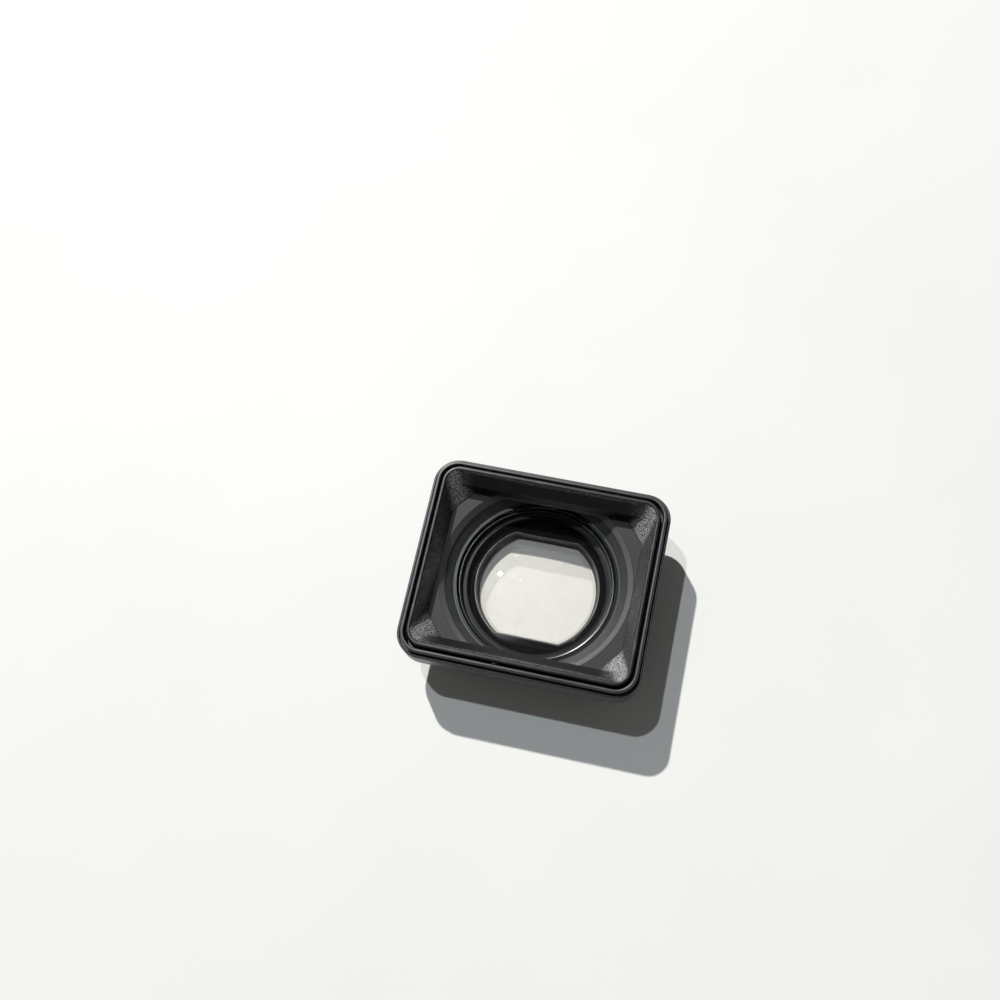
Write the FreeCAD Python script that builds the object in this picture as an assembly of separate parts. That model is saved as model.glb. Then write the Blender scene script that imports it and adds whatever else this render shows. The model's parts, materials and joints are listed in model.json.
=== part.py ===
"""Clip-on wide conversion lens with a rectangular hood for a pocket gimbal camera.

Millimetres.  +Z is the optical axis, hood side up.  +X runs along the long side
of the hood.  The origin is the centre of the rear seat, the face that goes
against the camera.  Everything is built in the place it has in the finished lens.
"""
import FreeCAD, Part
import math
import os
from FreeCAD import Vector

os.makedirs("parts", exist_ok=True)

# ---- overall size of the hood block ----
OUTER_X = 33.0
OUTER_Y = 28.2
OUTER_R = 3.5

# ---- heights above the rear seat ----
Z_PAD_TOP = 0.5
Z_COVER_FOOT = 0.2
Z_CELL_FOOT = 0.85
Z_MAGNET = 0.9
Z_SPIGOT_FOOT = 1.0
Z_REAR_GLASS = 1.3
Z_COVER_TOP = 1.9
Z_CELL_SHOULDER = 2.0
Z_BARREL_FOOT = 2.05
Z_MASK_FOOT = 2.6
Z_GASKET = 3.45
Z_GLASS_BACK = 3.7
Z_GLASS_RIM = 5.35
Z_BLOCK_FOOT = 6.7
Z_COUNTERBORE = 6.9
Z_TRAY_FLOOR = 7.7
Z_PARTING = 10.5
Z_STEP = 11.1
Z_RIDGE = 12.2
Z_LIP = 12.7

# ---- front bezel, half sizes ----
RIDGE_OUT_X, RIDGE_OUT_Y, RIDGE_OUT_R = 15.95, 13.55, 2.95
RIDGE_IN_X, RIDGE_IN_Y, RIDGE_IN_R = 15.45, 13.05, 2.45
GROOVE_WIDTH, GROOVE_DEPTH = 0.17, 0.3
TONGUE_IN, TONGUE_OUT, TONGUE_DEPTH = 0.25, 0.10, 0.5

# ---- hood opening, half sizes ----
LIP_OUT_X, LIP_OUT_Y, LIP_OUT_R = 15.05, 12.72, 2.35
LIP_IN_X, LIP_IN_Y, LIP_BLEND_R = 14.60, 12.27, 1.70
MID_Y, Z_MID, MID_BLEND_R = 10.75, 10.95, 1.40
FLOOR_X, FLOOR_Y, Z_HOOD_FLOOR, FLOOR_BLEND_R = 13.25, 10.65, 9.0, 1.20

# ---- the flat across each corner: its turn from +X and its distance from the axis ----
FACET_TURN = math.radians(39.5)
FACET_LIP, FACET_FLOOR = 18.30, 14.95

# ---- round steps around the front glass ----
CONE_TOP_R = 13.25
CONE_LOW_R, Z_CONE_LOW = 12.53, 8.2
RING_LOW_R, Z_RING_LOW = 11.48, 7.08
RING_TOP_R, Z_RING_TOP = 12.48, 8.0
RING_OUT_R, RING_FOOT_R = 12.6, 12.4
GLASS_EDGE_R, Z_GLASS_EDGE = 10.40, 6.04
BEAD_R, Z_BEAD, BEAD_CROWN = 10.64, 6.17, 0.42
SEAT_LEDGE_R, Z_SEAT_LEDGE = 10.88, 6.04
SEAT_WALL_R, Z_SEAT_WALL = 11.02, 6.3

# ---- neck below the hood block ----
NECK_X, NECK_Y, NECK_R = 14.2, 12.0, 4.5
COUNTERBORE_R = 12.45
BORE_R = 11.30
BARREL_R = 11.25
SPIGOT_R = 10.20
BARREL_BORE_R = 9.6
MASK_POCKET_R = 9.75
GLASS_POCKET_R = 10.75
CELL_R, CELL_FOOT_R = 9.55, 8.95

# ---- glass ----
FRONT_GLASS_R = 10.70
FRONT_CURVE = 60.0
BACK_CURVE, BACK_REACH = 30.0, 9.6
REAR_GLASS_R, REAR_GLASS_Y = 8.30, 7.05
REAR_GLASS_TAPER = 0.14
REAR_GLASS_CURVE, REAR_GLASS_TOP = 52.0, 2.45

# ---- small hardware ----
TAPE_THICK = 0.15
MAGNET_X, MAGNET_Y, MAGNET_R = 11.45, 9.35, 1.5
SCREW_X, SCREW_Y = 12.3, 3.4
PIN_X = 12.75
Z_SCREW_SEAT = 1.05
Z_KEEPER = 2.5
PAD_OUTLINE = (13.3, 11.1, 3.6)


def rounded_wire(hx, hy, r, z):
    """Closed wire: a rectangle of half sizes hx, hy with corner radius r."""
    edges = []
    centres = [(hx - r, hy - r, 0), (r - hx, hy - r, 90),
               (r - hx, r - hy, 180), (hx - r, r - hy, 270)]
    points = []
    for cx, cy, start in centres:
        arc = []
        for step in (0, 45, 90):
            a = math.radians(start + step)
            arc.append(Vector(cx + r * math.cos(a), cy + r * math.sin(a), z))
        points.append(arc)
    for i, arc in enumerate(points):
        edges.append(Part.Arc(arc[0], arc[1], arc[2]).toShape())
        edges.append(Part.makeLine(arc[2], points[(i + 1) % 4][0]))
    return Part.Wire(edges)


def blended_octagon(hx, hy, reach, blend, z):
    """Closed wire: a rectangle, its corners cut by flats at a distance reach, all corners rounded."""
    across, along = math.cos(FACET_TURN), math.sin(FACET_TURN)
    side = (reach - hx * across) / along
    top = (reach - hy * along) / across
    corners = [(hx, side), (top, hy), (-top, hy), (-hx, side),
               (-hx, -side), (-top, -hy), (top, -hy), (hx, -side)]
    corners = [Vector(x, y, z) for x, y in corners]
    arcs = []
    for i, corner in enumerate(corners):
        to_last = (corners[i - 1] - corner).normalize()
        to_next = (corners[(i + 1) % 8] - corner).normalize()
        half = to_last.getAngle(to_next) / 2
        run = blend / math.tan(half)
        middle = (to_last + to_next).normalize() * (blend / math.sin(half) - blend)
        arcs.append([corner + to_last * run, corner + middle, corner + to_next * run])
    edges = []
    for i, arc in enumerate(arcs):
        edges.append(Part.Arc(*arc).toShape())
        edges.append(Part.makeLine(arc[2], arcs[(i + 1) % 8][0]))
    return Part.Wire(edges)


def slab(hx, hy, r, z0, z1):
    """Upright prism on a rounded rectangle."""
    face = Part.Face(rounded_wire(hx, hy, r, z0))
    return face.extrude(Vector(0, 0, z1 - z0))


def disc(r, z0, z1, x=0.0, y=0.0):
    """Upright round bar."""
    return Part.makeCylinder(r, z1 - z0, Vector(x, y, z0), Vector(0, 0, 1))


def turned(profile):
    """Ring turned about the optical axis from (radius, height) points."""
    points = [Vector(r, 0, z) for r, z in profile]
    face = Part.Face(Part.makePolygon(points + points[:1]))
    return face.revolve(Vector(0, 0, 0), Vector(0, 0, 1), 360)


def flat_sided_wire(r, hy, z):
    """Closed wire: a circle of radius r with flats at +-hy."""
    hx = math.sqrt(r * r - hy * hy)
    right = Part.Arc(Vector(hx, -hy, z), Vector(r, 0, z), Vector(hx, hy, z)).toShape()
    top = Part.makeLine(Vector(hx, hy, z), Vector(-hx, hy, z))
    left = Part.Arc(Vector(-hx, hy, z), Vector(-r, 0, z), Vector(-hx, -hy, z)).toShape()
    low = Part.makeLine(Vector(-hx, -hy, z), Vector(hx, -hy, z))
    return Part.Wire([right, top, left, low])


def flat_sided(r0, hy0, z0, r1, hy1, z1):
    """Tapered plug with a flat-sided round section at each end."""
    wires = [flat_sided_wire(r0, hy0, z0), flat_sided_wire(r1, hy1, z1)]
    return Part.makeLoft(wires, True, True)


def edges_at(shape, z, inside=None):
    """Edges lying level at height z, and if asked only those inside a half width and half depth."""
    found = []
    for edge in shape.Edges:
        box = edge.BoundBox
        if abs(box.ZMin - z) > 1e-4 or abs(box.ZMax - z) > 1e-4:
            continue
        reach = max(abs(box.XMin), abs(box.XMax)), max(abs(box.YMin), abs(box.YMax))
        if inside and (reach[0] > inside[0] + 0.01 or reach[1] > inside[1] + 0.01):
            continue
        found.append(edge)
    return found


def four(maker, x, y):
    """One shape repeated at the four places (+-x, +-y)."""
    shapes = []
    for sx in (-1, 1):
        for sy in (-1, 1):
            shapes.append(maker(sx * x, sy * y))
    return shapes


def save(name, shape):
    """Write one finished piece and report its size."""
    shape = shape.removeSplitter()
    path = os.path.join("parts", name + ".step")
    shape.exportStep(path)
    box = shape.BoundBox
    size = "%.2f x %.2f x %.2f" % (box.XLength, box.YLength, box.ZLength)
    print("%-22s solids %d  valid %s  vol %8.2f  %s  z %.2f..%.2f" % (
        name, len(shape.Solids), shape.isValid(), shape.Volume, size, box.ZMin, box.ZMax))
    return shape


# ---- front bezel: the raised frame round the hood, with its bead, groove and ridge ----
def grown(x, y, r, by):
    """A rounded rectangle's half sizes and corner radius, moved outwards by that much."""
    return x + by, y + by, r + by


def front_bezel():
    ridge_out = (RIDGE_OUT_X, RIDGE_OUT_Y, RIDGE_OUT_R)
    ridge_in = (RIDGE_IN_X, RIDGE_IN_Y, RIDGE_IN_R)
    low = slab(OUTER_X / 2, OUTER_Y / 2, OUTER_R, Z_PARTING, Z_STEP)
    low = low.cut(slab(*grown(*ridge_out, GROOVE_WIDTH), Z_STEP - GROOVE_DEPTH, Z_STEP + 1))
    low = low.makeFillet(0.16, edges_at(low, Z_STEP))
    ridge = slab(*ridge_out, Z_PARTING + 0.1, Z_RIDGE)
    ridge = ridge.makeFillet(0.2, edges_at(ridge, Z_RIDGE))
    tongue = slab(*grown(*ridge_out, TONGUE_OUT), Z_PARTING - TONGUE_DEPTH, Z_PARTING)
    body = low.fuse([ridge, tongue])
    hole = slab(*ridge_in, Z_PARTING - 1, Z_RIDGE + 1)
    tongue_hole = slab(*grown(*ridge_in, TONGUE_IN), Z_PARTING - 1, Z_PARTING)
    bezel = body.cut(hole).cut(tongue_hole)
    inner = edges_at(bezel, Z_RIDGE, inside=(RIDGE_IN_X, RIDGE_IN_Y))
    return bezel.makeFillet(0.2, inner)


# ---- main housing: the hood tray above, the square-shouldered neck below ----
def main_housing():
    block = slab(OUTER_X / 2, OUTER_Y / 2, OUTER_R, Z_BLOCK_FOOT, Z_PARTING)
    block = block.makeFillet(0.7, edges_at(block, Z_BLOCK_FOOT))
    rebate = slab(OUTER_X / 2 + 1, OUTER_Y / 2 + 1, 1, Z_PARTING - 0.22, Z_PARTING)
    rebate = rebate.cut(slab(16.3, 13.9, 3.3, Z_PARTING - 1, Z_PARTING + 1))
    block = block.cut(rebate)
    tray = slab(15.3, 12.97, 2.6, Z_TRAY_FLOOR, Z_PARTING + 1)
    slot = slab(16.1, 13.7, 3.1, Z_PARTING - 0.55, Z_PARTING + 1)
    slot = slot.cut(slab(15.65, 13.25, 2.65, 0, 20))
    neck = slab(NECK_X, NECK_Y, NECK_R, Z_COVER_TOP, Z_BLOCK_FOOT + 0.5)
    body = block.fuse(neck).cut([tray, slot])
    body = body.cut([disc(BORE_R, 0, 20), disc(COUNTERBORE_R, Z_COUNTERBORE, 20)])
    tools = four(lambda x, y: disc(MAGNET_R + 0.1, Z_COVER_TOP - 1, Z_KEEPER + 0.35, x, y),
                 MAGNET_X, MAGNET_Y)
    tools += four(lambda x, y: disc(0.45, Z_COVER_TOP - 1, 5.2, x, y), SCREW_X, SCREW_Y)
    tools += [disc(0.5, Z_COVER_TOP - 1, 3.6, s * PIN_X, 0) for s in (-1, 1)]
    return body.cut(tools)


# ---- hood insert: lip, sloping walls, corner flats and the smooth round step ----
def hood_section(z, hy, blend):
    """The opening's outline at height z: the long walls and the corner flats slope evenly."""
    share = (z - Z_HOOD_FLOOR) / (Z_LIP - Z_HOOD_FLOOR)
    hx = FLOOR_X + (LIP_IN_X - FLOOR_X) * share
    reach = FACET_FLOOR + (FACET_LIP - FACET_FLOOR) * share
    return blended_octagon(hx, hy, reach, blend, z)


def hood_opening():
    lip = hood_section(Z_LIP, LIP_IN_Y, LIP_BLEND_R)
    middle = hood_section(Z_MID, MID_Y, MID_BLEND_R)
    floor = hood_section(Z_HOOD_FLOOR, FLOOR_Y, FLOOR_BLEND_R)
    above = Part.Face(lip).extrude(Vector(0, 0, 1))
    return [Part.makeLoft([lip, middle], True, True), Part.makeLoft([middle, floor], True, True), above]


def hood_insert():
    body = slab(LIP_OUT_X, LIP_OUT_Y, LIP_OUT_R, Z_TRAY_FLOOR + TAPE_THICK, Z_LIP)
    body = body.makeFillet(0.2, edges_at(body, Z_LIP))
    ribs = [Part.makeBox(w, 0.45, 1.4, Vector(x, y, Z_PARTING + 0.05))
            for w, x, y in ((1.0, 5.3, 12.5), (0.5, 8.5, 12.5), (0.7, -3.05, -12.95))]
    body = body.fuse(ribs)
    body = body.cut(hood_opening())
    body = body.makeFillet(0.2, edges_at(body, Z_LIP, inside=(LIP_IN_X, LIP_IN_Y)))
    step = turned([(0, Z_CONE_LOW - 1), (CONE_LOW_R, Z_CONE_LOW - 1), (CONE_LOW_R, Z_CONE_LOW),
                   (CONE_TOP_R, Z_HOOD_FLOOR), (CONE_TOP_R, Z_HOOD_FLOOR + 0.4),
                   (0, Z_HOOD_FLOOR + 0.4)])
    strip = Part.makeBox(40, 2 * FLOOR_Y, 10, Vector(-20, -FLOOR_Y, 4))
    body = body.cut(step.common(strip))
    return body.cut(disc(RING_OUT_R + 0.05, 0, Z_CONE_LOW))


def bonding_tapes():
    strip = slab(0.9, 9.0, 0.3, Z_TRAY_FLOOR, Z_TRAY_FLOOR + TAPE_THICK)
    return Part.makeCompound([strip.translated(Vector(s * 13.85, 0, 0)) for s in (-1, 1)])


# ---- rings that hold the front glass ----
def front_retaining_ring():
    foot = Z_COUNTERBORE + 0.05
    return turned([(RING_LOW_R, foot), (RING_FOOT_R, foot), (RING_FOOT_R, Z_TRAY_FLOOR),
                   (RING_OUT_R, Z_TRAY_FLOOR), (RING_OUT_R, Z_CONE_LOW), (CONE_LOW_R, Z_CONE_LOW),
                   (RING_TOP_R, Z_RING_TOP), (RING_LOW_R, Z_RING_LOW)])


def glass_seat_ring():
    ring = turned([(GLASS_EDGE_R, Z_GLASS_RIM), (BARREL_R, Z_GLASS_RIM), (BARREL_R, Z_COUNTERBORE),
                   (SEAT_WALL_R, Z_COUNTERBORE), (SEAT_WALL_R, Z_SEAT_WALL),
                   (SEAT_LEDGE_R, Z_SEAT_LEDGE), (BEAD_R, Z_BEAD), (GLASS_EDGE_R, Z_GLASS_EDGE)])
    return ring.makeFillet(BEAD_CROWN, edges_at(ring, Z_BEAD))


def ball_cap(radius, top, reach):
    """Part of a ball whose highest point is at height top, cut to a round of reach."""
    ball = Part.makeSphere(radius, Vector(0, 0, top - radius))
    return ball.common(disc(reach, top - 8, top + 1))


def front_element():
    sag = FRONT_CURVE - math.sqrt(FRONT_CURVE ** 2 - GLASS_EDGE_R ** 2)
    hollow = BACK_CURVE - math.sqrt(BACK_CURVE ** 2 - BACK_REACH ** 2)
    rim = disc(FRONT_GLASS_R, Z_GLASS_BACK, Z_GLASS_RIM)
    cap = ball_cap(FRONT_CURVE, Z_GLASS_RIM + sag, GLASS_EDGE_R)
    cap = cap.cut(disc(20, -20, Z_GLASS_RIM - 0.75))
    return rim.fuse(cap).cut(ball_cap(BACK_CURVE, Z_GLASS_BACK + hollow, BACK_REACH))


def front_gasket():
    return disc(GLASS_POCKET_R - 0.15, Z_GASKET, Z_GLASS_BACK).cut(disc(9.85, 3, 4))


# ---- stepped light mask with flats, under the front glass ----
def aperture_mask():
    top = Z_GLASS_BACK - 0.05
    body = disc(MASK_POCKET_R - 0.05, Z_MASK_FOOT, top)
    body = body.cut(flat_sided(9.30, 8.20, 3.45, 9.40, 8.30, top + 0.1))
    body = body.cut(flat_sided(8.90, 7.75, 3.25, 9.00, 7.85, 3.5))
    return body.cut(flat_sided(8.55, 7.27, Z_MASK_FOOT - 0.1, 8.65, 7.37, 3.3))


# ---- barrel, rear cell and rear glass ----
def lens_barrel():
    body = disc(BARREL_R, Z_BARREL_FOOT, Z_GLASS_RIM)
    body = body.fuse(disc(SPIGOT_R, Z_SPIGOT_FOOT, Z_BARREL_FOOT + 0.05))
    return body.cut([disc(BARREL_BORE_R, 0, 3), disc(MASK_POCKET_R, Z_MASK_FOOT, 4),
                     disc(GLASS_POCKET_R, Z_GASKET, 6)])


def rear_cell():
    body = disc(CELL_R, Z_CELL_SHOULDER, Z_MASK_FOOT)
    body = body.fuse(disc(CELL_FOOT_R, Z_CELL_FOOT, Z_CELL_SHOULDER + 0.1))
    body = body.cut(flat_sided(8.35, 7.10, Z_REAR_GLASS, 8.55, 7.30, 2.7))
    return body.cut(flat_sided(7.90, 6.75, Z_CELL_FOOT - 0.05, 8.05, 6.90, Z_REAR_GLASS + 0.05))


def rear_element():
    wide, deep = REAR_GLASS_R + REAR_GLASS_TAPER, REAR_GLASS_Y + REAR_GLASS_TAPER
    plug = flat_sided(REAR_GLASS_R, REAR_GLASS_Y, Z_REAR_GLASS, wide, deep, REAR_GLASS_TOP + 0.1)
    return plug.common(ball_cap(REAR_GLASS_CURVE, REAR_GLASS_TOP, 2 * REAR_GLASS_R))


def rear_lock_ring():
    ring = disc(CELL_R, 1.2, Z_CELL_SHOULDER).cut(disc(CELL_FOOT_R + 0.05, 1, 3))
    slots = Part.makeBox(1.0, 24, 0.4, Vector(-0.5, -12, 1.1))
    return ring.cut(slots)


def barrel_shim():
    return disc(11.2, Z_COVER_TOP, Z_BARREL_FOOT).cut(disc(10.3, 1, 3))


# ---- rear cover with its soft seat, magnets and fixings ----
def rear_cover():
    body = slab(NECK_X, NECK_Y, NECK_R, Z_COVER_FOOT, Z_COVER_TOP)
    body = body.makeFillet(0.5, edges_at(body, Z_COVER_FOOT))
    body = body.cut([disc(10.25, 0, 3), slab(*grown(*PAD_OUTLINE, 0.1), 0, Z_PAD_TOP)])
    tools = four(lambda x, y: disc(MAGNET_R + 0.05, Z_MAGNET, 3, x, y), MAGNET_X, MAGNET_Y)
    tools += four(lambda x, y: disc(0.65, 0, 3, x, y), SCREW_X, SCREW_Y)
    tools += four(lambda x, y: disc(1.05, 0, Z_SCREW_SEAT, x, y), SCREW_X, SCREW_Y)
    tools += [disc(0.5, Z_MAGNET, 3, s * PIN_X, 0) for s in (-1, 1)]
    return body.cut(tools)


def seat_pad():
    return slab(*PAD_OUTLINE, 0, Z_PAD_TOP).cut(disc(10.3, -1, 3))


def magnets():
    return Part.makeCompound(four(lambda x, y: disc(MAGNET_R, Z_MAGNET, Z_KEEPER, x, y),
                                  MAGNET_X, MAGNET_Y))


def keeper_plates():
    return Part.makeCompound(four(lambda x, y: disc(MAGNET_R, Z_KEEPER, Z_KEEPER + 0.35, x, y),
                                  MAGNET_X, MAGNET_Y))


def one_screw(x, y):
    head = disc(1.0, Z_PAD_TOP + 0.05, Z_SCREW_SEAT, x, y)
    shank = disc(0.42, Z_SCREW_SEAT, 5.0, x, y)
    drive = Part.makeBox(1.2, 0.3, 0.25, Vector(x - 0.6, y - 0.15, Z_PAD_TOP))
    cross = Part.makeBox(0.3, 1.2, 0.25, Vector(x - 0.15, y - 0.6, Z_PAD_TOP))
    return head.fuse(shank).cut([drive, cross])


def rear_screws():
    return Part.makeCompound(four(one_screw, SCREW_X, SCREW_Y))


def locating_pins():
    return Part.makeCompound([disc(0.47, 0.95, 3.5, s * PIN_X, 0) for s in (-1, 1)])


pieces = [hood_insert, front_bezel, main_housing, bonding_tapes, front_retaining_ring,
          glass_seat_ring, front_element, front_gasket, aperture_mask, lens_barrel,
          rear_cell, rear_element, rear_lock_ring, barrel_shim, rear_cover, seat_pad,
          magnets, keeper_plates, rear_screws, locating_pins]
for piece in pieces:
    save(piece.__name__, piece())
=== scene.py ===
# %% [markdown]
# # A clip-on wide conversion lens
# The object is a small lens for a pocket camera: a black rectangular hood about 33 mm wide, a round
# front glass at the bottom of it, a mask with two flats under the glass, and a flat magnetic rear.
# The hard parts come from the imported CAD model, which is loaded as a fixed frame. This script gives
# each of them its finish. It models again the pieces whose edges or softness the CAD only sketches,
# which are the front glass, the rubber gasket and the seat pad, and it inks the rear glass.

import json
import math

import bmesh
import bpy
from mathutils import Matrix, Vector


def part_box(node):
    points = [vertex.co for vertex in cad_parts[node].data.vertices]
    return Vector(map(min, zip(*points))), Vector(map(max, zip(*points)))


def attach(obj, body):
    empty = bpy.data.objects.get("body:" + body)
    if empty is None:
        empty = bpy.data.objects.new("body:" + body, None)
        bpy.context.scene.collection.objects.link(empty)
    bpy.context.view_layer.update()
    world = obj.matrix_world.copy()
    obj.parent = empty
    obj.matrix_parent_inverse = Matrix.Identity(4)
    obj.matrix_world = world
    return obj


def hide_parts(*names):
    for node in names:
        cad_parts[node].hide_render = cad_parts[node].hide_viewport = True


MM = 0.001
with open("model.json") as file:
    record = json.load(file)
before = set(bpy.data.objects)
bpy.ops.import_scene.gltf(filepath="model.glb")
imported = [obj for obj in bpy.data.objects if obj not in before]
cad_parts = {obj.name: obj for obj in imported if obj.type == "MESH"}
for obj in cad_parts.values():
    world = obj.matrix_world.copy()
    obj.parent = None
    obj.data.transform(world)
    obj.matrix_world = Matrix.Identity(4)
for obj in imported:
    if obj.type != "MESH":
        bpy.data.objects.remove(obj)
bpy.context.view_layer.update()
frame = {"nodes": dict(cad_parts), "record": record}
nodes = frame["nodes"]


def in_mm(vector):
    return [round(value / MM, 2) for value in vector]


# %% [markdown]
# ## A way to write finishes
# A finish is a node tree, and a tree is easier to read as arithmetic. A `Field` is one socket whose
# number changes over the surface, and Python's operators on it add Math nodes. The reflected forms
# let a plain number stand first, so that `1 - mask` works.


# %% A socket that does arithmetic
class Field:
    """A number that varies over a surface."""

    def __init__(self, finish, socket):
        self.finish = finish
        self.socket = socket

    def __add__(self, other):
        return self.finish.maths("ADD", self, other)

    def __sub__(self, other):
        return self.finish.maths("SUBTRACT", self, other)

    def __mul__(self, other):
        return self.finish.maths("MULTIPLY", self, other)

    def __rsub__(self, other):
        return self.finish.maths("SUBTRACT", other, self)

    def __pow__(self, other):
        return self.finish.maths("POWER", self, other)

    __radd__ = __add__
    __rmul__ = __mul__


# %% [markdown]
# A `Tree` owns one material and adds every node through one method. What is the same all over a
# surface is set on the Principled shader itself, and what varies is linked to it by `feed`. The tree
# starts from Object coordinates, scaled to millimetres. They suit every piece here, because each one
# sits at the origin with its place in its mesh.


# %% A material and the nodes it is made of
class Tree:
    """One material: a Principled shader, the places on its surface, and a way to add nodes."""

    def __init__(self, name, **fixed):
        self.name = name
        self.material = bpy.data.materials.new(name)
        self.material.use_nodes = True
        self.tree = self.material.node_tree
        self.tree.nodes.clear()
        fixed = {key.replace("_", " "): value for key, value in fixed.items()}
        self.shader = self.node("ShaderNodeBsdfPrincipled", {}, fixed)
        self.output = self.node("ShaderNodeOutputMaterial", {}, {"Surface": self.out(self.shader, 0)})
        place = self.node("ShaderNodeTexCoord", {}, {})
        scaled = {"Vector": self.out(place, "Object"), "Scale": (1 / MM,) * 3}
        self.place = self.node("ShaderNodeMapping", {}, scaled)
        axes = self.node("ShaderNodeSeparateXYZ", {}, {"Vector": self.out(self.place, 0)})
        self.x, self.y, self.z = (self.out(axes, i) for i in range(3))

    def node(self, kind, settings, sockets):
        """A node of that type, with its settings, then the values or links of its sockets."""
        made = self.tree.nodes.new(kind)
        for key, value in settings.items():
            setattr(made, key, value)
        for key, value in sockets.items():
            if isinstance(value, Field):
                self.tree.links.new(value.socket, made.inputs[key])
            else:
                made.inputs[key].default_value = value
        return made

    def out(self, node, key):
        return Field(self, node.outputs[key])

    def maths(self, operation, *values):
        made = self.node("ShaderNodeMath", {"operation": operation}, dict(enumerate(values)))
        return self.out(made, 0)

    def feed(self, **values):
        """Links fields to the shader: feed(Roughness=field)."""
        for key, value in values.items():
            self.tree.links.new(value.socket, self.shader.inputs[key.replace("_", " ")])


# %% [markdown]
# A `Finish` is a tree that also knows a few patterns. Noise makes clouds, streaks and grain, Voronoi
# cells make separate spots, and `between` turns any number into a soft mask. Relief this small goes
# into a Bump node, because a mesh fine enough to carry it would have millions of faces.


# %% Patterns, masks and blends
class Finish(Tree):
    """A material with the patterns that the finishes share, in millimetres."""

    def noise(self, size, detail=2.0, rough=0.5, place=None):
        """Cloudy noise whose blobs are about size millimetres across."""
        where = self.out(place or self.place, 0)
        sockets = {"Vector": where, "Scale": 1 / size, "Detail": detail, "Roughness": rough}
        return self.out(self.node("ShaderNodeTexNoise", {}, sockets), 0)

    def cells(self, size, output="Distance"):
        """Voronoi cells about size millimetres across."""
        sockets = {"Vector": self.out(self.place, 0), "Scale": 1 / size}
        return self.out(self.node("ShaderNodeTexVoronoi", {}, sockets), output)

    def between(self, value, low, high):
        """0 below low, 1 above high, and smooth between them."""
        settings = {"interpolation_type": "SMOOTHSTEP"}
        sockets = {"Value": value, "From Min": low, "From Max": high}
        return self.out(self.node("ShaderNodeMapRange", settings, sockets), 0)

    def blend(self, factor, first, second):
        """A colour: first where factor is 0, second where it is 1."""
        sockets = {0: factor, 6: first, 7: second}
        return self.out(self.node("ShaderNodeMix", {"data_type": "RGBA"}, sockets), 2)

    def radius(self):
        """Distance from the optical axis, in millimetres."""
        return (self.x * self.x + self.y * self.y) ** 0.5

    def bump(self, height, depth):
        """Small relief, depth millimetres from its lowest to its highest point."""
        sockets = {"Height": height, "Distance": depth * MM, "Strength": 1.0}
        self.feed(Normal=self.out(self.node("ShaderNodeBump", {}, sockets), 0))


# %% [markdown]
# ## A place for the finishes
# Every finish is kept under the name of the slot it is for, so that the parts can ask for it later.


# %% Keep each finish by its name
finishes = {}


def keep(finish):
    """Stores a finish under its name, and prints how many nodes it took."""
    finishes[finish.name] = finish.material
    print("finish:", finish.name, " nodes:", len(finish.tree.nodes))


def rgb(red, green, blue):
    return (red, green, blue, 1.0)


# %% [markdown]
# ## Dust
# A black lens shows every speck. Dust could be loose geometry, but specks a tenth of a millimetre
# across are far smaller than anything that a mesh should carry, so they are part of the finishes: a
# Voronoi cell's centre makes a round dot, and its random colour decides whether the cell has one.


# %% Specks of dust
def dust(finish, spacing, size, share):
    """1 on specks of dust: one per cell of that spacing, in that share of the cells."""
    centre = 1 - finish.between(finish.cells(spacing), size * 0.6 / spacing, size / spacing)
    chosen = finish.between(finish.cells(spacing, "Color"), 1 - share - 0.01, 1 - share)
    return centre * chosen


# %% [markdown]
# ## The hood moulding
# The corners and the short walls have the dull sparkle of a spark-eroded mould, which keeps stray
# light down. Their grain facets are partly metallic and partly painted pale, paler in the corners,
# and that pale colour is a painted glint. The long walls are smoother below the lip. The cone of the
# round step is painted paler, a painted sheen on its smooth face. Separate materials would need seams
# that the moulding doesn't have, so one material does all of it. First come the zones, each a soft
# mask made from the height and from the distance from the middle. A corner is found along a slanted
# line, which leans out as the wall does.

# %% Where the hood is smooth and where it is grained
LIP_FROM = (12.50, 12.64)
STEP_UP_TO = (9.02, 9.12)
CONE_UP_TO = (8.94, 8.985)
LIP_IN_X, LIP_IN_Y = 14.60, 12.27
CORNER_COS, CORNER_SIN, CORNER_OUT = 0.77, 0.64, 18.45
CORNER_LEAN, CORNER_FROM = 0.9, (6.2, 7.2)
LONG_WALL_ENDS, LONG_WALL_TOP = (10.6, 12.6), (12.15, 12.45)
LONG_WALL_SMOOTH = 0.93


def hood_zones(finish):
    """How much each spot is lip, round step, turned cone, corner, and grained wall."""
    lip = finish.between(finish.z, *LIP_FROM)
    step = 1 - finish.between(finish.z, *STEP_UP_TO)
    cone = 1 - finish.between(finish.z, *CONE_UP_TO)
    along, across = finish.maths("ABSOLUTE", finish.x), finish.maths("ABSOLUTE", finish.y)
    slant = along * CORNER_COS + across * CORNER_SIN
    corner = finish.between(slant - finish.z * CORNER_LEAN, *CORNER_FROM)
    past_lip = finish.maths("MAXIMUM", along - LIP_IN_X, across - LIP_IN_Y)
    past_corner = finish.between(slant, CORNER_OUT, CORNER_OUT + 0.15)
    outside = finish.maths("MAXIMUM", finish.between(past_lip, 0.05, 0.12), past_corner)
    middle = 1 - finish.between(along, *LONG_WALL_ENDS)
    long_wall = middle * (1 - finish.between(finish.z, *LONG_WALL_TOP))
    wall = 1 - finish.maths("MAXIMUM", lip, step)
    grained = wall * (1 - outside) * (1 - long_wall * LONG_WALL_SMOOTH)
    return lip, step, cone, corner, grained


# %% [markdown]
# The zones then mix the colours in turn: moulding, step, painted sheen on the cone, painted glint on
# the grain, rubbed lip with a painted highlight, and dust. The grain is one noise, used both for the
# relief and for the facets painted pale as glints, so that they agree. It is stretched upwards,
# because a wall is seen foreshortened. The lip is rubbed in patches, where fingers and a cap touch it,
# and its paler patches are wear and partly a painted highlight along the lip.

# %% Hood moulding
GRAIN, GRAIN_STRETCH, GRAIN_DEPTH = 0.12, (1, 1, 0.5), 0.13


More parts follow.
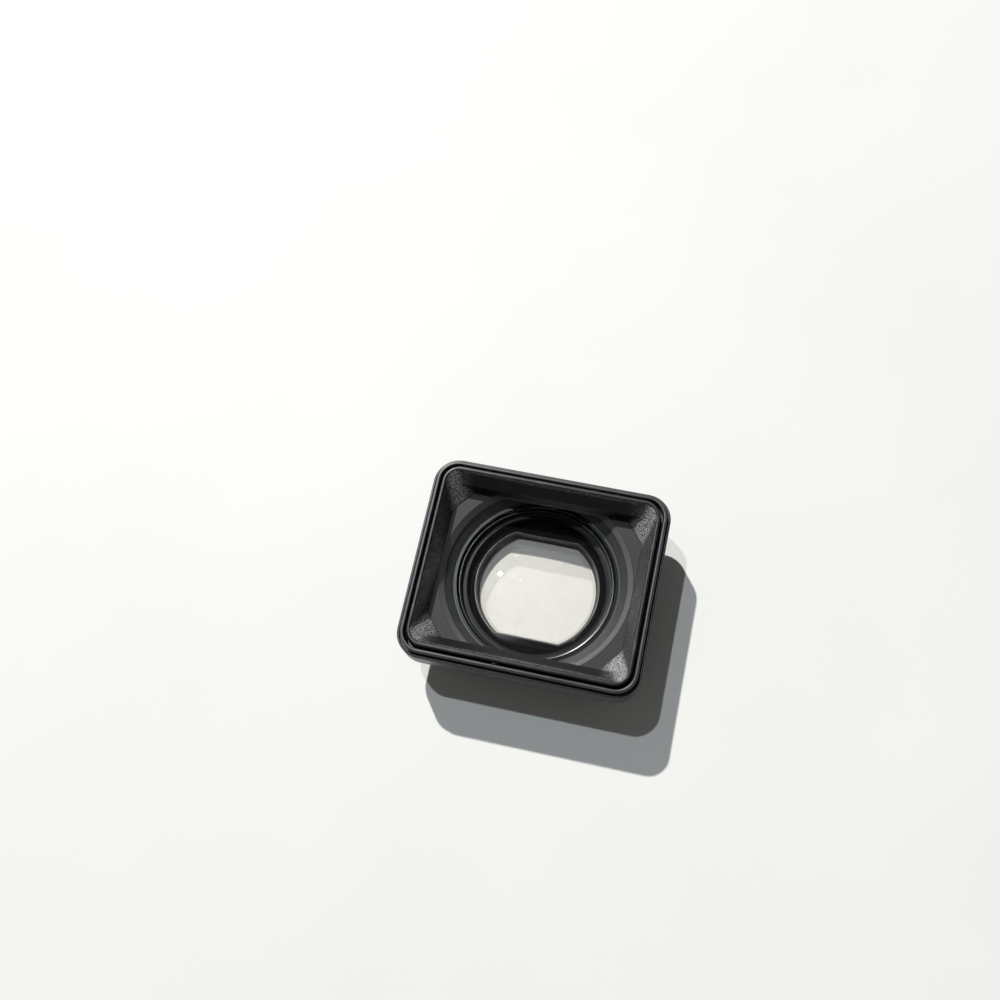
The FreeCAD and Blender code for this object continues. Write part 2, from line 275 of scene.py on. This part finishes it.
def hood_moulding():
    """Black moulding: smooth lip and steps, walls whose grain facets are painted pale as glints, and a
    painted sheen on the cone.
    """
    finish = Finish("hood_moulding", IOR=1.5)
    lip, step, cone, corner, grained = hood_zones(finish)
    stretched = {"Vector": finish.out(finish.place, 0), "Scale": GRAIN_STRETCH}
    grain = finish.noise(GRAIN, 1.0, 0.6, finish.node("ShaderNodeMapping", {}, stretched))
    cloud = finish.noise(3.0, 3.0, 0.55)
    # Grain facets: partly metallic, and painted pale as a painted glint, with more of them in the
    # corners.
    painted_glint_facets = grained * finish.between(grain + corner * 0.07, 0.48, 0.62)
    # Paler lip patches: wear, and partly a painted highlight along the lip.
    lip_wear_and_highlight = lip * finish.between(cloud, 0.50, 0.75)
    specks = dust(finish, 2.2, 0.085, 0.25)
    colour = finish.blend(cloud, rgb(0.006, 0.006, 0.008), rgb(0.011, 0.011, 0.013))
    colour = finish.blend(step, colour, rgb(0.017, 0.017, 0.019))
    # Painted sheen: the cone is painted paler to stand in for the sheen of its smooth face.
    colour = finish.blend(cone, colour, rgb(0.110, 0.110, 0.114))
    # Painted glint: pale colour on the grain facets, paler in the corners.
    painted_glint_colour = finish.blend(corner, rgb(0.22, 0.22, 0.23), rgb(0.78, 0.78, 0.79))
    colour = finish.blend(painted_glint_facets, colour, painted_glint_colour)
    colour = finish.blend(lip_wear_and_highlight, colour, rgb(0.045, 0.045, 0.047))
    colour = finish.blend(specks, colour, rgb(0.55, 0.54, 0.50))
    finish.feed(Base_Color=colour, Metallic=painted_glint_facets * 0.4 * (1 - specks),
                Roughness=0.36 + step * 0.26 + specks * 0.3)
    finish.bump(grain * (grained * 0.97 + 0.03), GRAIN_DEPTH)
    return finish


keep(hood_moulding())

# %% [markdown]
# ## Bezel and housing
# Both are satin black plastic from a polished mould, with a very fine orange-peel relief. The bezel's
# ridge is what a bag rubs against, and it is painted paler along the top, which is wear and partly a
# painted highlight. A clear coat would be the other way to get the thin highlights, but the plain
# gloss of the plastic already gives them.

# %% Bezel and housing
RIDGE_TOP = (11.95, 12.18)


def satin_moulding(name, dark, pale, edge_highlight=None):
    """Satin black plastic with dust. edge_highlight is the height range over which it is paler, wear
    and partly a painted highlight.
    """
    finish = Finish(name, IOR=1.62)
    fine = finish.noise(0.09, 2.0, 0.55)
    cloud = finish.noise(2.6, 4.0, 0.6)
    specks = dust(finish, 1.7, 0.05, 0.25)
    colour = finish.blend(cloud, dark, pale)
    if edge_highlight:
        # Paler band on the ridge top: wear, and partly a painted highlight.
        ridge_wear_and_highlight = finish.between(finish.z, *edge_highlight) * finish.between(cloud + fine * 0.4, 0.5, 0.95)
        colour = finish.blend(ridge_wear_and_highlight, colour, rgb(0.040, 0.040, 0.042))
    colour = finish.blend(specks, colour, rgb(0.5, 0.49, 0.46))
    finish.feed(Base_Color=colour, Roughness=0.34 + cloud * 0.08 + specks * 0.3)
    finish.bump(fine, 0.006)
    return finish


keep(satin_moulding("bezel", rgb(0.009, 0.009, 0.010), rgb(0.016, 0.016, 0.018), RIDGE_TOP))
keep(satin_moulding("housing", rgb(0.013, 0.013, 0.014), rgb(0.020, 0.020, 0.022)))

# %% [markdown]
# ## Black metals
# The retaining ring is aluminium, blasted and dyed a dull black. The dye hides the metal, so the
# finish isn't metallic, only soft and a little paler than the plastic. The barrel keeps the fine
# rings of the lathe. They could be an image or a wave texture, but a sine of the radius and the
# height follows the turned faces by itself.


# %% Retaining ring and barrel
def retaining_ring():
    """Aluminium, blasted and dyed dull black."""
    finish = Finish("retaining_ring", IOR=1.5)
    fine = finish.noise(0.12, 2.0, 0.6)
    cloud = finish.noise(2.0, 3.0, 0.5)
    colour = finish.blend(cloud, rgb(0.030, 0.031, 0.033), rgb(0.050, 0.051, 0.054))
    finish.feed(Base_Color=colour, Roughness=0.46 + fine * 0.10)
    finish.bump(fine, 0.012)
    return finish


def barrel_metal():
    """Blackened metal with the fine rings that a lathe leaves."""
    finish = Finish("barrel_metal", IOR=1.5)
    turning = finish.maths("SINE", finish.radius() * 60.0 + finish.z * 40.0)
    cloud = finish.noise(1.5, 3.0, 0.5)
    colour = finish.blend(cloud, rgb(0.008, 0.008, 0.010), rgb(0.016, 0.016, 0.018))
    finish.feed(Base_Color=colour, Roughness=0.32 + cloud * 0.15)
    finish.bump(turning, 0.008)
    return finish


keep(retaining_ring())
keep(barrel_metal())

# %% [markdown]
# ## Bare metals
# The brass shim, the plated magnets and the steel screws differ only in their two colours and in the
# size of their grain, so one recipe makes all three.


# %% Brass, plating and steel
def bright_metal(name, colour, second, grain):
    """Bare metal, between two colours, with a grain of that size in millimetres."""
    finish = Finish(name, Metallic=1.0)
    cloud = finish.noise(0.8, 4.0, 0.6)
    fine = finish.noise(grain, 2.0, 0.6)
    finish.feed(Base_Color=finish.blend(cloud, colour, second), Roughness=0.22 + cloud * 0.2)
    finish.bump(fine, 0.004)
    return finish


keep(bright_metal("shim_brass", rgb(0.70, 0.52, 0.24), rgb(0.60, 0.43, 0.20), 0.06))
keep(bright_metal("magnet_plating", rgb(0.72, 0.71, 0.68), rgb(0.60, 0.59, 0.57), 0.08))
keep(bright_metal("steel", rgb(0.56, 0.56, 0.57), rgb(0.45, 0.45, 0.46), 0.05))

# %% [markdown]
# ## Gloss black
# The mask behind the glass is lacquered like a mirror, so from most sides it shows only black. The
# mask's window has a thin pale line along its edge, found from its own radius and flats, which is a
# painted highlight. The ring above is a little softer, so that a lamp draws a long arc on its bead
# instead of a dot. Both are one lacquer, so one material does both and tells them apart by height.

# %% Gloss black
WINDOW_R, WINDOW_FLAT = 8.64, 7.36
RING_FROM = (5.2, 5.3)


def gloss_black():
    """Black lacquer: like glass on the flat mask, a little softer on the ring above it."""
    finish = Finish("gloss_black", IOR=1.5)
    cloud = finish.noise(1.8, 3.0, 0.5)
    ring = finish.between(finish.z, *RING_FROM)
    specks = dust(finish, 1.9, 0.085, 0.3)
    past_flat = finish.maths("ABSOLUTE", finish.y) - WINDOW_FLAT
    beyond = finish.maths("MAXIMUM", finish.radius() - WINDOW_R, past_flat)
    # Painted highlight: a thin pale line along the window's edge.
    edge_highlight = (1 - finish.between(beyond, 0.06, 0.12)) * (1 - ring)
    colour = finish.blend(cloud, rgb(0.002, 0.002, 0.0025), rgb(0.005, 0.005, 0.0055))
    colour = finish.blend(edge_highlight, colour, rgb(0.07, 0.07, 0.067))
    colour = finish.blend(specks, colour, rgb(0.6, 0.59, 0.56))
    finish.feed(Base_Color=colour,
                Roughness=0.03 + cloud * 0.03 + ring * 0.20 + (specks + edge_highlight) * 0.3)
    return finish


keep(gloss_black())

# %% [markdown]
# ## Rubber and tape
# The gasket, the pad and the tapes are matt. A rough surface with a fine grain is all that they need,
# and again one recipe makes all three.


# %% Rubber and tape
def rubber(name, dark, pale, grain, depth):
    """Matt rubber or tape, with a grain of that size and depth in millimetres."""
    finish = Finish(name, IOR=1.5)
    fine = finish.noise(grain, 3.0, 0.6)
    cloud = finish.noise(2.2, 3.0, 0.5)
    finish.feed(Base_Color=finish.blend(cloud, dark, pale), Roughness=0.62 + fine * 0.2)
    finish.bump(fine, depth)
    return finish


keep(rubber("seal_rubber", rgb(0.014, 0.014, 0.015), rgb(0.022, 0.022, 0.023), 0.08, 0.012))
keep(rubber("pad_rubber", rgb(0.030, 0.030, 0.032), rgb(0.048, 0.048, 0.050), 0.11, 0.03))
keep(rubber("tape", rgb(0.09, 0.09, 0.09), rgb(0.14, 0.14, 0.14), 0.2, 0.03))

# %% [markdown]
# ## Glass
# The lenses are coated, so they hardly reflect. Real glass bends each lamp's light onto the ground in
# a way that takes very many samples to find. Here lamplight passes straight through as a faint tint,
# and only what the eye sees is bent. The window is pale and even where clear glass would show the
# edge of a shadow, so the rear glass has a thin matt film on its upper face, which is a guess. The
# film is the same glass with most of its clarity taken away.

# %% Clear glass and film
SMEAR = 0.97


def coated_glass(name, tint, clarity=1.0):
    """Coated glass, clear or with a film. Lamplight passes it straight, and is counted once."""
    finish = Finish(name, IOR=1.52, Transmission_Weight=clarity, Roughness=0.0, Specular_IOR_Level=0.02)
    cloud = finish.noise(2.4, 4.0, 0.6)
    streak = finish.between(finish.noise(0.5, 2.0, 0.5) * (1 - cloud), 0.24, 0.36)
    smeared = [SMEAR * channel for channel in tint]
    finish.feed(Base_Color=finish.blend(streak, rgb(*tint), rgb(*smeared)))
    path = finish.node("ShaderNodeLightPath", {}, {})
    clear = finish.node("ShaderNodeBsdfTransparent", {}, {"Color": rgb(0.98, 0.98, 0.98)})
    shadow, diffuse = finish.out(path, "Is Shadow Ray"), finish.out(path, "Is Diffuse Ray")
    lamplight = finish.maths("MAXIMUM", shadow, diffuse)
    sockets = {0: lamplight, 1: finish.out(finish.shader, 0), 2: finish.out(clear, 0)}
    mixed = finish.node("ShaderNodeMixShader", {}, sockets)
    finish.tree.links.new(mixed.outputs[0], finish.output.inputs["Surface"])
    return finish


keep(coated_glass("front_glass", (0.985, 0.99, 0.985)))
keep(coated_glass("rear_glass", (0.98, 0.985, 0.98)))
keep(coated_glass("pale_film", (0.96, 0.93, 0.87), clarity=0.3))

# %% [markdown]
# A lens's edge is lacquered black, which keeps light from bouncing about inside the glass, and the
# narrow chamfer round its face is left ground. Neither lets light through, so both are plain opaque
# finishes, which render faster than frosted glass.


# %% Inked edge and ground chamfer
def edge_ink():
    """Black lacquer on a lens's edge."""
    finish = Finish("edge_ink", IOR=1.5)
    cloud = finish.noise(0.7, 3.0, 0.5)
    colour = finish.blend(cloud, rgb(0.002, 0.002, 0.002), rgb(0.006, 0.006, 0.006))
    finish.feed(Base_Color=colour, Roughness=0.5 + cloud * 0.2)
    return finish


def ground_bevel():
    """The narrow ground chamfer round a lens, grey against the black."""
    finish = Finish("ground_bevel", IOR=1.52)
    grit = finish.noise(0.06, 2.0, 0.6)
    colour = finish.blend(grit, rgb(0.030, 0.032, 0.033), rgb(0.085, 0.09, 0.092))
    finish.feed(Base_Color=colour, Roughness=0.16 + grit * 0.12)
    finish.bump(grit, 0.006)
    return finish


keep(edge_ink())
keep(ground_bevel())

# %% [markdown]
# ## Every part gets its finish
# The frame's record says which slot a CAD node has, and a slot and its finish share one name, so a
# loop is enough and no node can be missed.

# %% Give every CAD node the finish of its slot
for part in frame["record"]["subparts"]:
    nodes[part["node"]].data.materials[0] = finishes[part["material_slot"]]

# %% [markdown]
# ## Tools for new pieces
# A new piece is shaped as a bmesh and becomes an object at the end. It rides on the frame's one body,
# and it names the CAD node that it stands for, which is then hidden. Faces are smooth, and an edge is
# kept sharp where its two faces meet at more than a given angle.


# %% Tools for new pieces
def add_object(name, data):
    made = bpy.data.objects.new(name, data)
    bpy.context.scene.collection.objects.link(made)
    return made


def sharpen(shape, degrees):
    """Keeps the edges sharp whose faces meet at more than that angle."""
    for edge in shape.edges:
        edge.smooth = edge.calc_face_angle(0) < math.radians(degrees)


def finished(name, shape, materials, stands_for):
    """Turns a bmesh into a piece on the frame, in the place of the CAD node it stands for."""
    mesh = bpy.data.meshes.new(name)
    shape.to_mesh(mesh)
    shape.free()
    for material in materials:
        mesh.materials.append(finishes[material])
    piece = add_object(name, mesh)
    for face in mesh.polygons:
        face.use_smooth = True
    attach(piece, "root")
    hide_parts(stands_for)
    print("piece:", name, " faces:", len(mesh.polygons), " box in mm:", in_mm(piece.dimensions))


# %% [markdown]
# A lens and a rubber ring are both turned shapes: a half section that goes once round the axis. These
# helpers draw a section from one moving vertex and then turn it. The last step merges the seam and
# the poles, and points the faces outwards.


# %% Tools for turned pieces
def curve_on(shape, vertex, centre_z, angle, steps):
    """Spins one vertex about a centre on the optical axis, and returns the last vertex."""
    spun = bmesh.ops.spin(shape, geom=[vertex], cent=(0, 0, centre_z), axis=(0, 1, 0), angle=angle,
                          steps=steps)
    return [v for v in spun["geom_last"] if isinstance(v, bmesh.types.BMVert)][0]


def line_to(shape, vertex, radius, height):
    """Extrudes one vertex to a radius and height, and returns the new vertex."""
    grown = bmesh.ops.extrude_vert_indiv(shape, verts=[vertex])["verts"][0]
    grown.co = (radius, 0, height)
    return grown


def turn_round(shape, steps):
    """Spins the whole section about the optical axis, and closes its seam and poles."""
    geom = shape.verts[:] + shape.edges[:]
    bmesh.ops.spin(shape, geom=geom, cent=(0, 0, 0), axis=(0, 0, 1), angle=math.tau, steps=steps,
                   use_merge=True)
    bmesh.ops.remove_doubles(shape, verts=shape.verts, dist=0.002 * MM)
    bmesh.ops.recalc_face_normals(shape, faces=shape.faces)


# %% [markdown]
# ## The front glass
# The CAD glass has the right size, but a lens wants a finer skin: the eye reads every flat in a
# curved mirror. Its CAD mesh could be subdivided, but that would keep the flats. Instead the half
# section is drawn once, from the pole outwards, down the chamfer and the edge, and back under. Its
# two curves are spun from one point each, about their centres of curvature.

# %% Draw half the section of the front glass
GLASS_R, POLISHED_R, CHAMFER_R = 10.70 * MM, 10.08 * MM, 10.40 * MM
FRONT_CURVE, BACK_CURVE, BACK_REACH = 60.0 * MM, 30.0 * MM, 9.6 * MM
CHAMFER_DROP, BARREL_GAP = 0.08 * MM, 0.02 * MM
FRONT_STEPS, BACK_STEPS, GLASS_TURNS = 28, 24, 160
glass_low, glass_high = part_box("front_element")
rim_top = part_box("lens_barrel")[1].z
shoulder = rim_top - BARREL_GAP
section = bmesh.new()
pole = section.verts.new((0, 0, glass_high.z))
front_angle = math.asin(POLISHED_R / FRONT_CURVE)
tip = curve_on(section, pole, glass_high.z - FRONT_CURVE, front_angle, FRONT_STEPS)
for radius, height in ((CHAMFER_R, tip.co.z - CHAMFER_DROP), (CHAMFER_R, shoulder), (GLASS_R, shoulder),
                       (GLASS_R, glass_low.z), (BACK_REACH, glass_low.z)):
    tip = line_to(section, tip, radius, height)
back_sag = BACK_CURVE - math.sqrt(BACK_CURVE ** 2 - BACK_REACH ** 2)
back_angle = -math.asin(BACK_REACH / BACK_CURVE)
curve_on(section, tip, glass_low.z + back_sag - BACK_CURVE, back_angle, BACK_STEPS)
print("section points:", len(section.verts), " depth of the back curve in mm:", round(back_sag / MM, 2))

# %% Turn the front glass and mark its faces
GROUND, INKED, EDGE_MARGIN = 1, 2, 0.1 * MM
turn_round(section, GLASS_TURNS)
for face in section.faces:
    middle = face.calc_center_median()
    out = math.hypot(middle.x, middle.y)
    if out > POLISHED_R and middle.z > rim_top:
        face.material_index = GROUND
    elif out > BACK_REACH + EDGE_MARGIN:
        face.material_index = INKED
sharpen(section, 20)
finished("front_lens", section, ("front_glass", "ground_bevel", "edge_ink"), "front_element")

# %% [markdown]
# ## The rear glass
# The rear glass is cut flat on two sides, so it can't be spun whole. Its CAD mesh is right, and only
# its skin needs work. The CAD's triangles are loose, so a copy of the mesh is merged first. The faces
# that stand upright get the ink, and those that look up get the film.

# %% Ink the rear glass and give it its film
WELD, UPRIGHT = 0.001 * MM, 0.6
INKED, FILMED = 1, 2


def merged_copy(node):
    shape = bmesh.new()
    shape.from_mesh(nodes[node].data)
    bmesh.ops.remove_doubles(shape, verts=shape.verts, dist=WELD)
    return shape


rear = merged_copy("rear_element")
for face in rear.faces:
    if abs(face.normal.z) < UPRIGHT:
        face.material_index = INKED
    elif face.normal.z > 0:
        face.material_index = FILMED
sharpen(rear, 25)
finished("rear_lens", rear, ("rear_glass", "edge_ink", "pale_film"), "rear_element")

# %% [markdown]
# ## The gasket
# Rubber has no sharp corners. The gasket is a rubber ring with a rounded section, squeezed wider than
# it is tall. A torus would do if the section were round, but here a circle is scaled to the space
# between the barrel and the glass, and then turned.

# %% The gasket
GASKET_IN, GASKET_SIDES, GASKET_TURNS = 9.85 * MM, 12, 120
gasket_low, gasket_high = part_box("front_gasket")
half_wide = (gasket_high.x - GASKET_IN) / 2
half_tall = (gasket_high.z - gasket_low.z) / 2
upright = Matrix.Rotation(math.pi / 2, 3, "X")
ring = bmesh.new()
bmesh.ops.create_circle(ring, segments=GASKET_SIDES, radius=1.0)
bmesh.ops.rotate(ring, verts=ring.verts, cent=(0, 0, 0), matrix=upright)
bmesh.ops.scale(ring, verts=ring.verts, vec=(half_wide, 1, half_tall))
bmesh.ops.translate(ring, verts=ring.verts, vec=(GASKET_IN + half_wide, 0, gasket_low.z + half_tall))
turn_round(ring, GASKET_TURNS)
finished("gasket_ring", ring, ("seal_rubber",), "front_gasket")

# %% [markdown]
# ## The seat pad
# The pad is what rests on the camera. Its shape is the CAD pad's, but die-cut rubber rolls over at its
# edges. The copy's triangles are first dissolved into whole faces, because a bevel can only follow
# real edges, and then every sharp edge gets a small round bevel.

# %% The seat pad
PAD_ROUND, PAD_STEPS, PAD_SHARP = 0.12 * MM, 3, math.radians(60)
pad = merged_copy("seat_pad")
bmesh.ops.dissolve_limit(pad, angle_limit=math.radians(1), verts=pad.verts, edges=pad.edges)
corners = [edge for edge in pad.edges if edge.calc_face_angle(0) > PAD_SHARP]
bmesh.ops.bevel(pad, geom=corners, offset=PAD_ROUND, segments=PAD_STEPS, profile=0.5, affect="EDGES",
                material=-1)
sharpen(pad, 40)
finished("soft_pad", pad, ("pad_rubber",), "seat_pad")

# %% [markdown]
# ## Floor
# The floor is one plain pale sheet, wide enough to fill every view. A very large and faint cloud in
# its colour keeps it from looking like an empty background.

# %% Floor
FLOOR_HALF = 1.5


def floor_finish():
    """Matt white sheet with a faint, very large cloud."""
    finish = Finish("floor_white", IOR=1.45, Roughness=0.6)
    cloud = finish.noise(38.0, 3.0, 0.5)
    finish.feed(Base_Color=finish.blend(cloud, rgb(0.80, 0.79, 0.77), rgb(0.86, 0.855, 0.84)))
    return finish.material


sheet = bmesh.new()
bmesh.ops.create_grid(sheet, x_segments=1, y_segments=1, size=FLOOR_HALF)
floor_mesh = bpy.data.meshes.new("floor")
sheet.to_mesh(floor_mesh)
sheet.free()
floor = add_object("floor", floor_mesh)
floor.data.materials.append(floor_finish())
print("floor sides in m:", [round(side, 2) for side in floor.dimensions[:2]])

# %% [markdown]
# ## Light
# Two lamps cast two shadows: a strong warm one, and a weaker cool one that fills the first one's
# shadow. They are small, so that the shadows have crisp edges, and far away, so that the floor is lit
# evenly. Larger lamps would give softer shadows. The world adds a little light from everywhere.

# %% Light
LAMP_AWAY, LAMP_SIZE = 2.5, 0.05
world = bpy.data.worlds.new("studio")
world.use_nodes = True
world.node_tree.nodes["Background"].inputs["Color"].default_value = rgb(1.0, 1.0, 0.97)
world.node_tree.nodes["Background"].inputs["Strength"].default_value = 0.10
bpy.context.scene.world = world


def small_lamp(name, toward, power, colour):
    """A small round lamp in the direction toward, facing the lens."""
    lamp = bpy.data.lights.new(name, "AREA")
    lamp.shape = "DISK"
    lamp.size = LAMP_SIZE
    lamp.energy = power
    lamp.color = colour
    made = add_object(name, lamp)
    direction = Vector(toward).normalized()
    made.location = direction * LAMP_AWAY
    made.rotation_euler = direction.to_track_quat("Z", "Y").to_euler()
    print("lamp:", name, " watts:", power)


small_lamp("key", (-0.51, 0.68, 1.0), 64.0, (1.0, 0.985, 0.96))
small_lamp("second", (-0.31, 0.26, 1.0), 16.0, (0.86, 0.95, 1.0))

# %% [markdown]
# ## Camera
# The camera looks steeply down, a little from the right, and is turned about its own axis. It is
# placed by the point it aims at and by three angles, which are easier to judge than a position.

# %% Camera
AIM = Vector((-6.7, 9.1, 12.2)) * MM
AZIMUTH, ELEVATION, ROLL = (math.radians(a) for a in (24.83, 71.62, -13.07))
DISTANCE, LENS, CLIP_START = 160.6 * MM, 42.44, 0.01
back = Vector((math.sin(AZIMUTH) * math.cos(ELEVATION), -math.cos(AZIMUTH) * math.cos(ELEVATION),
               math.sin(ELEVATION)))
camera = add_object("camera", bpy.data.cameras.new("camera"))
camera.data.lens = LENS
camera.data.clip_start = CLIP_START
camera.matrix_world = (Matrix.Translation(AIM + back * DISTANCE)
                       @ back.to_track_quat("Z", "Y").to_matrix().to_4x4()
                       @ Matrix.Rotation(ROLL, 4, "Z"))
bpy.context.scene.camera = camera
bpy.context.scene.view_settings.view_transform = "Standard"
print("camera at, in mm:", in_mm(camera.matrix_world.translation))
